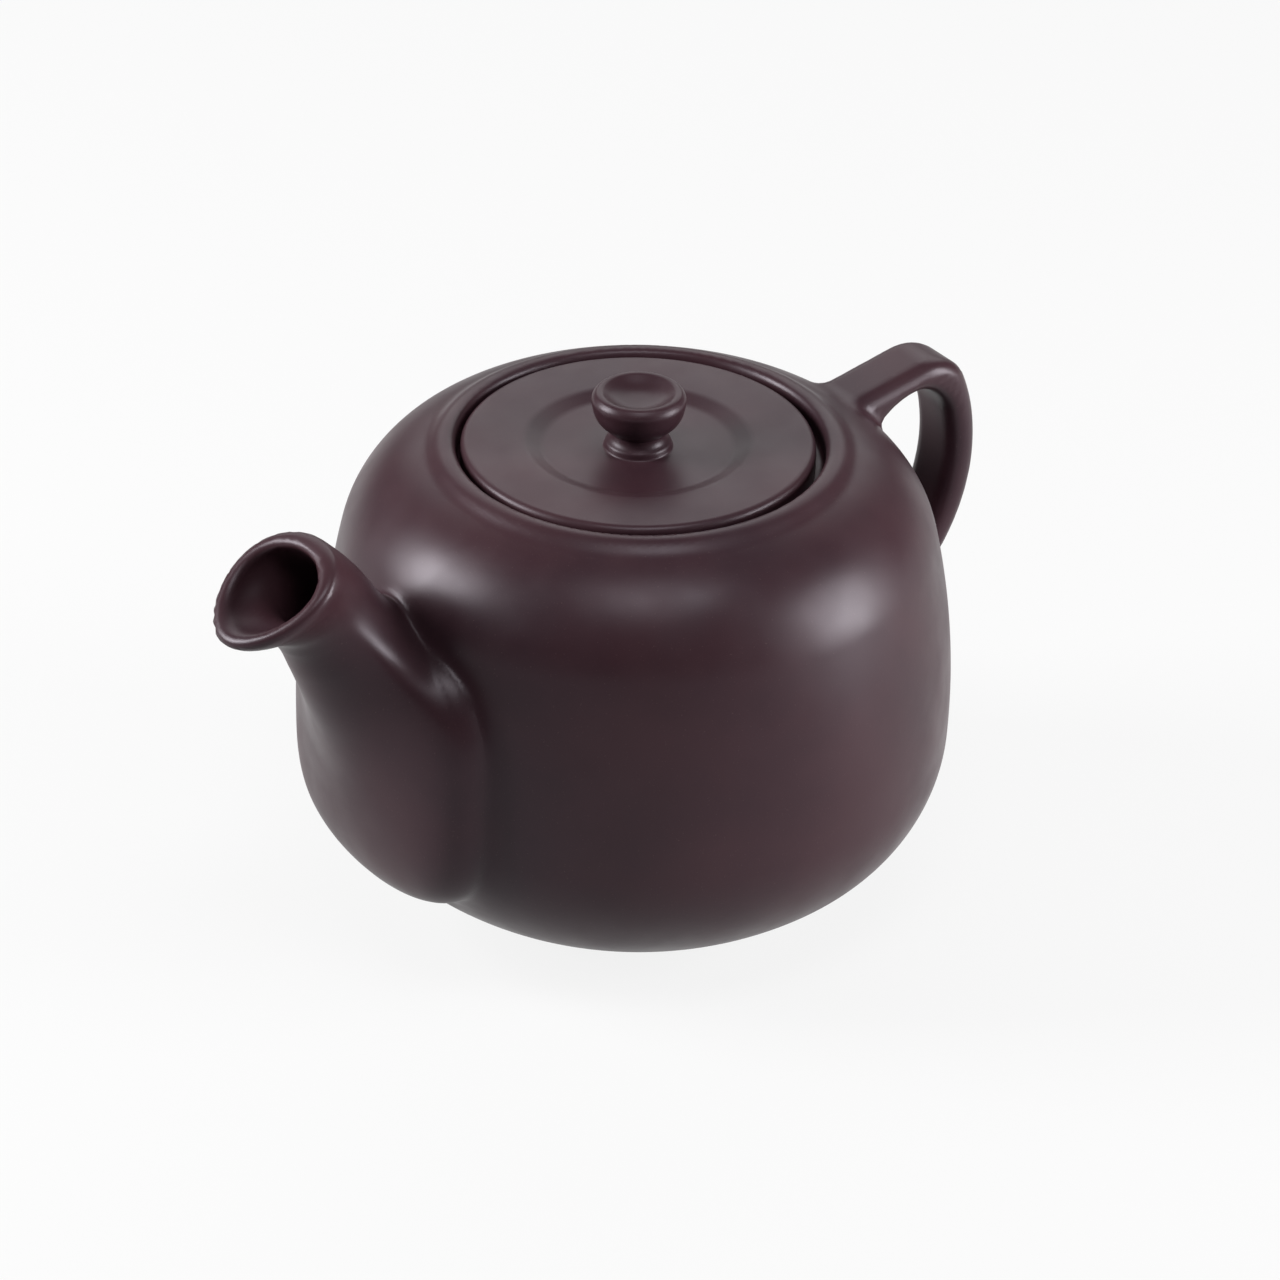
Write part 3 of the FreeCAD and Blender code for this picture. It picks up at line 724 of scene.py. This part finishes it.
@dataclass
class Pot:
    """Pot of joined clay: base, wall, shoulder, mouth, spout and handle in one skin."""

    form: PotForm = field(default_factory=PotForm)
    spout: SpoutForm = field(default_factory=SpoutForm)
    ear: EarForm = field(default_factory=EarForm)
    wall: float = 4.0
    floor_level: float = 5.9
    sole_level: float = 1.7
    sole_round: float = 1.2
    foot_outer: float = 33.5
    foot_inner: float = 28.5
    foot_round: float = 1.0
    mouth_radius: float = 36.1
    mouth_round: float = 1.2
    well_round: float = 1.2
    bead_reach: float = 38.2
    bead_level: float = 94.9
    bead_radius: float = 2.0
    bead_blend: float = 2.6
    seat_level: float = SEAT_LEVEL
    seat_radius: float = 30.5
    seat_round: float = 1.3
    inner_round: float = 1.3
    core_radius: float = 24.0
    bore_round: float = 2.2
    ceiling_level: float = 88.4
    throat_foot: float = 80.0
    pour_radius: float = 10.0
    pour_level: float = POUR_LEVEL
    pour_span: tuple[float, float] = (52.0, 66.0)
    spout_crease: float = 1.6
    ear_root: float = 2.2
    quad: float = 1.25
    margin: float = 3.0

    def distance(self, x: np.ndarray, y: np.ndarray, z: np.ndarray) -> np.ndarray:
        """Distance to the clay of the pot: first what is added, then what is cut away.

        Args:
            x: reach towards the spout.
            y: reach to the side.
            z: height over the table.

        Returns:
            Distance, below zero inside the clay.
        """
        reach = np.hypot(x, y)
        form = self.form.distance(reach, z)
        body = round_max(form, self.sole_level - z, self.sole_round)
        bead = np.hypot(reach - self.bead_reach, z - self.bead_level) - self.bead_radius
        body = smooth_min(body, bead, self.bead_blend)
        clay = smooth_min(body, self.spout.outside(x, y, z), self.spout_crease)
        clay = smooth_min(clay, self.ear.distance(x, y, z), self.ear_root)
        ring = np.maximum(reach - self.foot_outer, self.foot_inner - reach)
        clay = np.minimum(clay, np.maximum(round_max(ring, -z, self.foot_round), z - self.floor_level))
        well = round_max(reach - self.mouth_radius, self.seat_level - z, self.well_round)
        clay = round_max(clay, -well, self.mouth_round)
        throat = np.maximum(reach - self.seat_radius, self.throat_foot - z)
        clay = round_max(clay, -throat, self.seat_round)
        layer = np.maximum(self.floor_level - z, z - self.ceiling_level)
        chamber = np.maximum(form + self.wall, layer)
        core = np.maximum(reach - self.core_radius, layer)
        clay = round_max(clay, -np.minimum(chamber, core), self.inner_round)
        bore = round_max(self.spout.bore(x, y, z), -form, self.bore_round)
        clay = round_max(clay, -bore, self.spout.lip_round)
        first, last = self.pour_span
        hole = np.hypot(y, z - self.pour_level) - self.pour_radius
        pour = np.maximum(hole, np.maximum(first - x, x - last))
        return round_max(clay, -pour, self.inner_round)

    def build(self, finish: bpy.types.Material) -> bpy.types.Object:
        """Mesh of the pot, dressed.

        Args:
            finish: material of the clay.

        Returns:
            The pot.
        """
        low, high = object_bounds()
        mesher = ClayMesher(tuple(value / MM - self.margin for value in low),
                            tuple(value / MM + self.margin for value in high), self.quad)
        points, quads, normals = mesher.skin(self.distance)
        pot = new_piece("pot_clay", points, quads, normals)
        return dress(pot, finish, Body.POT, "base_disc", "foot_ring", "lower_wall", "body_wall",
                     "shoulder_disc", "mouth_collar", "seat_ring", "spout", "handle")


@dataclass(frozen=True)
class Corner:
    """Corner of a turned outline and the radius that it is rounded to."""

    reach: float
    height: float
    radius: float = 0.0


def rounded_outline(corners: list[Corner], step: float) -> list[tuple[float, float]]:
    """Points along an outline with its corners rounded.

    Args:
        corners: corners in order, the first and last of which stay as they are.
        step: angle between points of a rounded corner, in degrees.

    Returns:
        Reach and height of each point.
    """
    points = [(corners[0].reach, corners[0].height)]
    for before, corner, after in zip(corners, corners[1:], corners[2:]):
        here = Vector((corner.reach, corner.height))
        back = (Vector((before.reach, before.height)) - here).normalized()
        ahead = (Vector((after.reach, after.height)) - here).normalized()
        turn = math.pi - back.angle(ahead)
        if corner.radius == 0.0 or turn < math.radians(step):
            points.append(tuple(here))
            continue
        middle = here + (back + ahead).normalized() * corner.radius / math.cos(turn / 2)
        start = here + back * corner.radius * math.tan(turn / 2) - middle
        side = 1.0 if back.x * ahead.y - back.y * ahead.x < 0.0 else -1.0
        count = max(2, math.ceil(math.degrees(turn) / step))
        for index in range(count + 1):
            bearing = side * turn * index / count
            cos, sin = math.cos(bearing), math.sin(bearing)
            across = middle.x + start.x * cos - start.y * sin
            up = middle.y + start.x * sin + start.y * cos
            points.append((across, up))
    points.append((corners[-1].reach, corners[-1].height))
    return points


@dataclass
class Lid:
    """Loose lid: a plate with a shallow recess, a guide ring below and a turned knob.

    Attributes:
        slip: how far the lid lies off the axis, within its play in the mouth.
        knob: foot, neck, swell, rim and dish of the knob, with heights over the floor of the recess.
        vent_past: how far the drill of the vent goes past the plate.
        arc_step: angle between points of a rounded corner, in degrees.
    """

    slip: float = 0.6
    slip_bearing: float = 295.0
    seat_level: float = SEAT_LEVEL
    plate_radius: float = 34.7
    plate_top: float = 97.0
    edge_round: float = 1.5
    under_round: float = 0.6
    recess_radius: float = 22.2
    recess_slope: float = 3.4
    recess_floor: float = 95.75
    recess_round: float = 4.5
    guide_outer: float = 29.6
    guide_inner: float = 26.4
    guide_foot: float = 82.1
    guide_round: float = 1.0
    guide_root_round: float = 1.2
    knob: tuple[Corner, ...] = (
        Corner(6.7, 0.0, 0.5),
        Corner(6.5, 1.3, 0.9),
        Corner(4.9, 2.55, 1.8),
        Corner(5.4, 3.55, 2.2),
        Corner(8.65, 6.35, 5.5),
        Corner(9.4, 10.65, 1.8),
        Corner(7.85, 12.4, 1.3),
        Corner(4.25, 9.95, 7.0),
        Corner(0.0, 9.85),
    )
    vent_radius: float = 1.3
    vent_reach: float = 11.5
    vent_bearing: float = 233.5
    vent_past: float = 1.0
    vent_segments: int = 32
    segments: int = 192
    arc_step: float = 7.0
    sharp_angle: float = 50.0

    def outline(self) -> list[tuple[float, float]]:
        """Outline from the middle of the underside out and up to the dish of the knob.

        Returns:
            Reach and height of each point.
        """
        corners = [
            Corner(0.0, self.seat_level),
            Corner(self.guide_inner, self.seat_level, self.guide_root_round),
            Corner(self.guide_inner, self.guide_foot, self.guide_round),
            Corner(self.guide_outer, self.guide_foot, self.guide_round),
            Corner(self.guide_outer, self.seat_level, self.under_round),
            Corner(self.plate_radius, self.seat_level, self.under_round),
            Corner(self.plate_radius, self.plate_top, self.edge_round),
            Corner(self.recess_radius, self.plate_top, self.recess_round),
            Corner(self.recess_radius - self.recess_slope, self.recess_floor, self.recess_round),
        ]
        for corner in self.knob:
            corners.append(Corner(corner.reach, self.recess_floor + corner.height, corner.radius))
        return rounded_outline(corners, self.arc_step)

    def build(self, finish: bpy.types.Material) -> bpy.types.Object:
        """Mesh of the lid with its vent, dressed.

        Args:
            finish: material of the clay.

        Returns:
            The lid.
        """
        bearing = math.radians(self.slip_bearing)
        middle = np.array([self.slip * math.cos(bearing), self.slip * math.sin(bearing), 0.0])
        lid = new_piece("lid_clay", *self._turned(self.outline(), self.segments, middle))
        self._drill(lid, middle)
        return dress(lid, finish, Body.LID, "lid_plate", "lid_flange", "knob")

    @staticmethod
    def _turned(outline: list[tuple[float, float]], segments: int,
                middle: np.ndarray) -> tuple[np.ndarray, list[tuple[int, ...]]]:
        """Turn an outline about an upright axis.

        Args:
            outline: reach and height of its points, with the first and last on the axis.
            segments: count of points round the axis.
            middle: place of the axis.

        Returns:
            Points in millimetres, with one at each pole, and corner numbers of each face.
        """
        turns = np.arange(segments) * 2 * math.pi / segments
        cos, sin = np.cos(turns), np.sin(turns)
        rings = outline[1:-1]
        points = [np.array([[0.0, 0.0, outline[0][1]]])]
        for reach, height in rings:
            points.append(np.stack([reach * cos, reach * sin, np.full(segments, height)], 1))
        points.append(np.array([[0.0, 0.0, outline[-1][1]]]))
        last = 1 + len(rings) * segments
        faces = []
        for turn in range(segments):
            ahead = (turn + 1) % segments
            faces.append((0, 1 + ahead, 1 + turn))
            for ring in range(len(rings) - 1):
                low, up = 1 + ring * segments, 1 + (ring + 1) * segments
                faces.append((low + turn, low + ahead, up + ahead, up + turn))
            faces.append((last, last - segments + turn, last - segments + ahead))
        return np.vstack(points) + middle, faces

    def _drill(self, lid: bpy.types.Object, middle: np.ndarray) -> None:
        """Cut the vent through the plate.

        Args:
            lid: turned lid.
            middle: place of its axis.
        """
        bearing = math.radians(self.vent_bearing)
        place = middle + self.vent_reach * np.array([math.cos(bearing), math.sin(bearing), 0.0])
        foot, top = self.seat_level - self.vent_past, self.plate_top + self.vent_past
        outline = [(0.0, foot), (self.vent_radius, foot), (self.vent_radius, top), (0.0, top)]
        drill = new_piece("vent_drill", *self._turned(outline, self.vent_segments, place))
        cut = lid.modifiers.new("vent", "BOOLEAN")
        cut.operation = "DIFFERENCE"
        cut.solver = "EXACT"
        cut.object = drill
        mesh = applied(lid, self.sharp_angle)
        lid.modifiers.remove(cut)
        lid.data = mesh
        bpy.data.objects.remove(drill)


@dataclass
class Strainer:
    """Pierced dome behind the spout, made by a node tree.

    Attributes:
        lean: angle between the middle hole and the ring of holes, in degrees.
        first_hole: turn of the ring, in radians.
        weld: distance below which points of the mesh are merged.
        block_size: size of the block that halves the ball, in radii.
        block_shift: shift of that block, in radii.
        drill_depth: length of a drill, in walls.
    """

    reach: float = 58.5
    level: float = POUR_LEVEL
    radius: float = 13.2
    wall: float = 2.2
    hole_radius: float = 1.6
    lean: float = 42.0
    holes: int = 6
    first_hole: float = 0.07
    weld: float = 0.02
    ball_segments: int = 48
    ball_rings: int = 24
    block_size: float = 4.0
    block_shift: float = 1.98
    drill_sides: int = 24
    drill_depth: float = 3.0
    sharp_angle: float = 40.0

    def build(self, finish: bpy.types.Material) -> bpy.types.Object:
        """Plain mesh of the dome, dressed.

        Args:
            finish: material of the clay.

        Returns:
            The dome.
        """
        holder = new_piece("strainer_seed", np.zeros((1, 3)), [])
        modifier = holder.modifiers.new("dome", "NODES")
        modifier.node_group = self._tree(finish)
        sizes = self._sizes()
        for item in modifier.node_group.interface.items_tree:
            if item.in_out == "INPUT":
                modifier[item.identifier] = sizes[item.name]
        mesh = applied(holder, self.sharp_angle)
        bpy.data.objects.remove(holder)
        mesh.transform(Matrix.Translation((self.reach * MM, 0.0, self.level * MM)))
        dome = bpy.data.objects.new("strainer_dome_clay", mesh)
        bpy.context.scene.collection.objects.link(dome)
        return dress(dome, finish, Body.POT, "strainer_dome")

    def _sizes(self) -> dict[str, float | int]:
        """Inputs of the node tree, in metres and radians."""
        return {"Radius": self.radius * MM, "Wall": self.wall * MM, "Hole Radius": self.hole_radius * MM,
                "Lean": math.radians(self.lean), "Holes": self.holes}

    def _tree(self, finish: bpy.types.Material) -> bpy.types.NodeTree:
        """Node tree of a half ball, hollowed and pierced.

        Args:
            finish: material of the clay.

        Returns:
            The tree, with the sizes of the dome as its inputs.
        """
        tree = bpy.data.node_groups.new("pierced_dome", "GeometryNodeTree")
        for name, size in self._sizes().items():
            kind = "NodeSocketInt" if isinstance(size, int) else "NodeSocketFloat"
            tree.interface.new_socket(name, in_out="INPUT", socket_type=kind)
        tree.interface.new_socket("Geometry", in_out="OUTPUT", socket_type="NodeSocketGeometry")
        bench = NodeBench(tree)
        given = bench.add("NodeGroupInput").outputs
        radius = given["Radius"]
        hollow = self._ball(bench, bench.maths("SUBTRACT", radius, given["Wall"]))
        pierced = bench.add("GeometryNodeMeshBoolean", {
            "Mesh 1": self._ball(bench, radius),
            "Mesh 2": [hollow, self._block(bench, radius), self._drills(bench, given)],
            "Self Intersection": True,
        }, operation="DIFFERENCE", solver="EXACT")
        welded = bench.add("GeometryNodeMergeByDistance", {
            "Geometry": pierced.outputs["Mesh"],
            "Distance": self.weld * MM,
        })
        plain = bench.add("GeometryNodeRealizeInstances", {"Geometry": welded.outputs["Geometry"]})
        painted = bench.add("GeometryNodeSetMaterial", {
            "Geometry": plain.outputs["Geometry"],
            "Material": finish,
        })
        bench.add("NodeGroupOutput", {"Geometry": painted.outputs["Geometry"]})
        return tree

    def _ball(self, bench: NodeBench, size: bpy.types.NodeSocket) -> bpy.types.NodeSocket:
        """Ball of a given radius."""
        feeds = {"Segments": self.ball_segments, "Rings": self.ball_rings, "Radius": size}
        return bench.add("GeometryNodeMeshUVSphere", feeds).outputs["Mesh"]

    def _block(self, bench: NodeBench, radius: bpy.types.NodeSocket) -> bpy.types.NodeSocket:
        """Block that takes the front half of the ball away.

        Args:
            bench: bench of the tree.
            radius: radius of the ball.

        Returns:
            Socket that carries the block.
        """
        side = bench.maths("MULTIPLY", radius, self.block_size)
        block = bench.add("GeometryNodeMeshCube", {"Size": bench.vector(X=side, Y=side, Z=side)})
        shift = bench.vector(X=bench.maths("MULTIPLY", radius, self.block_shift))
        return bench.moved(block.outputs["Mesh"], Translation=shift)

    def _drills(self, bench: NodeBench, given: bpy.types.NodeOutputs) -> bpy.types.NodeSocket:
        """Drills for the holes: a ring of leaning ones round one in the middle.

        Args:
            bench: bench of the tree.
            given: inputs of the tree.

        Returns:
            Socket that carries the drills, turned to face away from the spout.
        """
        drill = bench.add("GeometryNodeMeshCylinder", {
            "Vertices": self.drill_sides,
            "Radius": given["Hole Radius"],
            "Depth": bench.maths("MULTIPLY", given["Wall"], self.drill_depth),
        })
        lift = bench.maths("SUBTRACT", given["Radius"], bench.maths("MULTIPLY", given["Wall"], 0.5))
        middle = bench.moved(drill.outputs["Mesh"], Translation=bench.vector(Z=lift))
        leaning = bench.moved(middle, Rotation=bench.vector(Y=given["Lean"]))
        index = bench.add("GeometryNodeInputIndex").outputs["Index"]
        turn = bench.maths("DIVIDE", bench.maths("MULTIPLY", index, 2 * math.pi), given["Holes"])
        ring = bench.add("GeometryNodeInstanceOnPoints", {
            "Points": bench.add("GeometryNodePoints", {"Count": given["Holes"]}).outputs["Points"],
            "Instance": leaning,
            "Rotation": bench.vector(Z=bench.maths("ADD", turn, self.first_hole)),
        })
        drills = bench.add("GeometryNodeJoinGeometry", {"Geometry": [middle, ring.outputs["Instances"]]})
        lying = bench.moved(drills.outputs["Geometry"], Rotation=(0.0, -math.pi / 2, 0.0))
        return bench.add("GeometryNodeRealizeInstances", {"Geometry": lying}).outputs["Geometry"]


@dataclass(frozen=True)
class SoftBox:
    """Rectangular studio lamp that faces the pot.

    Angles are in degrees, the bearing from +X towards +Y, lengths in metres and the power in watts.
    """

    name: str
    bearing: float
    elevation: float
    distance: float
    width: float
    height: float
    power: float

    def build(self, target: Vector) -> None:
        """Hang the lamp and aim it.

        Args:
            target: point that it faces, in metres.
        """
        lamp = bpy.data.lights.new(self.name, "AREA")
        lamp.shape = "RECTANGLE"
        lamp.size, lamp.size_y = self.width, self.height
        lamp.energy = self.power
        holder = bpy.data.objects.new(self.name, lamp)
        bearing, rise = math.radians(self.bearing), math.radians(self.elevation)
        level = math.cos(rise)
        away = Vector((math.cos(bearing) * level, math.sin(bearing) * level, math.sin(rise)))
        holder.location = target + away * self.distance
        holder.rotation_mode = "QUATERNION"
        holder.rotation_quaternion = (-away).to_track_quat("-Z", "Y")
        bpy.context.scene.collection.objects.link(holder)


@dataclass
class Studio:
    """White floor, soft lamps and the camera of the picture.

    Attributes:
        floor_colour: colour of the floor where it lights the pot.
        floor_white: share of white where the floor is seen or mirrored.
        camera_turn: angle of the camera from +Y towards +X, in degrees.
        aim_level: height of the point on the axis that the camera turns about, in metres.
        aim_pixel: pixel of the picture where that point lies.
    """

    lamps: tuple[SoftBox, ...] = (
        SoftBox("left_box", -36.0, 27.0, 0.9, 0.30, 0.44, 14.0),
        SoftBox("right_box", 136.0, 13.0, 0.9, 0.36, 0.58, 15.0),
        SoftBox("top_box", 66.0, 68.0, 1.0, 0.50, 0.30, 4.6),
        SoftBox("back_panel", 233.0, 34.0, 1.3, 1.5, 0.9, 8.0),
    )
    sky: float = 0.08
    floor_half: float = 3.0
    floor_colour: tuple[float, float, float] = (0.40, 0.40, 0.40)
    floor_roughness: float = 0.9
    floor_white: float = 0.86
    camera_turn: float = 36.5
    camera_rise: float = 31.0
    camera_roll: float = 1.1
    camera_distance: float = 1.2308
    focal_pixels: float = 6200.0
    aim_level: float = 0.05143
    aim_pixel: tuple[float, float] = (637.1, 640.8)

    def build(self) -> None:
        """Set up floor, world, lamps and camera."""
        self._floor()
        self._world()
        for lamp in self.lamps:
            lamp.build(Vector((0.0, 0.0, self.aim_level)))
        self._camera()
        bpy.context.scene.view_settings.view_transform = "Standard"

    def _floor(self) -> None:
        """Lay the floor."""
        half = self.floor_half / MM
        corners = [[-half, -half, 0.0], [half, -half, 0.0], [half, half, 0.0], [-half, half, 0.0]]
        floor = new_piece("floor", np.array(corners), [(0, 1, 2, 3)])
        material = bpy.data.materials.new("floor_paper")
        material.use_nodes = True
        bench = NodeBench(material.node_tree)
        paper = bench.tree.nodes["Principled BSDF"]
        bench.feed(paper, {"Base Color": (*self.floor_colour, 1.0), "Roughness": self.floor_roughness})
        white = bench.add("ShaderNodeEmission")
        mix = bench.add("ShaderNodeMixShader", {
            "Fac": self._seen(bench),
            1: paper.outputs["BSDF"],
            2: white.outputs["Emission"],
        })
        bench.feed(bench.tree.nodes["Material Output"], {"Surface": mix.outputs["Shader"]})
        floor.data.materials.append(material)
        floor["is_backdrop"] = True

    def _seen(self, bench: NodeBench) -> bpy.types.NodeSocket:
        """Share of white that rays of the camera, and mirrored and refracted ones, find on the floor.

        Args:
            bench: bench of the floor's material.

        Returns:
            Socket that carries the share.
        """
        path = bench.add("ShaderNodeLightPath").outputs
        value = path["Is Camera Ray"]
        for other in ("Is Glossy Ray", "Is Transmission Ray"):
            value = bench.maths("MAXIMUM", value, path[other])
        return bench.maths("MULTIPLY", value, self.floor_white)

    def _world(self) -> None:
        """Even, dim sky."""
        world = bpy.data.worlds.new("studio")
        bpy.context.scene.world = world
        world.use_nodes = True
        bench = NodeBench(world.node_tree)
        bench.feed(bench.tree.nodes["Background"], {"Color": (1.0, 1.0, 1.0, 1.0), "Strength": self.sky})

    def _camera(self) -> None:
        """Place the camera at the picture's angle."""
        turn, rise = math.radians(self.camera_turn), math.radians(self.camera_rise)
        roll = math.radians(self.camera_roll)
        level = math.cos(rise)
        back = Vector((math.sin(turn) * level, math.cos(turn) * level, math.sin(rise)))
        right = Vector((-math.cos(turn), math.sin(turn), 0.0))
        up = back.cross(right)
        rolled_right = right * math.cos(roll) + up * math.sin(roll)
        rolled_up = up * math.cos(roll) - right * math.sin(roll)
        camera = bpy.data.cameras.new("camera")
        camera.sensor_width = SENSOR_WIDTH
        camera.lens = self.focal_pixels / IMAGE_PIXELS * SENSOR_WIDTH
        camera.shift_x = (IMAGE_PIXELS / 2 - self.aim_pixel[0]) / IMAGE_PIXELS
        camera.shift_y = -(IMAGE_PIXELS / 2 - self.aim_pixel[1]) / IMAGE_PIXELS
        holder = bpy.data.objects.new("camera", camera)
        place = Matrix((rolled_right, rolled_up, back)).transposed().to_4x4()
        place.translation = Vector((0.0, 0.0, self.aim_level)) + back * self.camera_distance
        holder.matrix_world = place
        bpy.context.scene.collection.objects.link(holder)
        bpy.context.scene.camera = holder


def main() -> None:
    """Build the teapot and its studio, and report each piece."""
    logging.basicConfig(level=logging.INFO)
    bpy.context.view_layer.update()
    clay = ClayFinish("purple_clay").build()
    for maker in (Pot(), Strainer(), Lid()):
        piece = maker.build(clay)
        LOG.info("%s: %d faces", piece.name, len(piece.data.polygons))
    studio = Studio()
    studio.build()
    LOG.info("studio: %d lamps", len(studio.lamps))


if __name__ == "__main__":
    main()
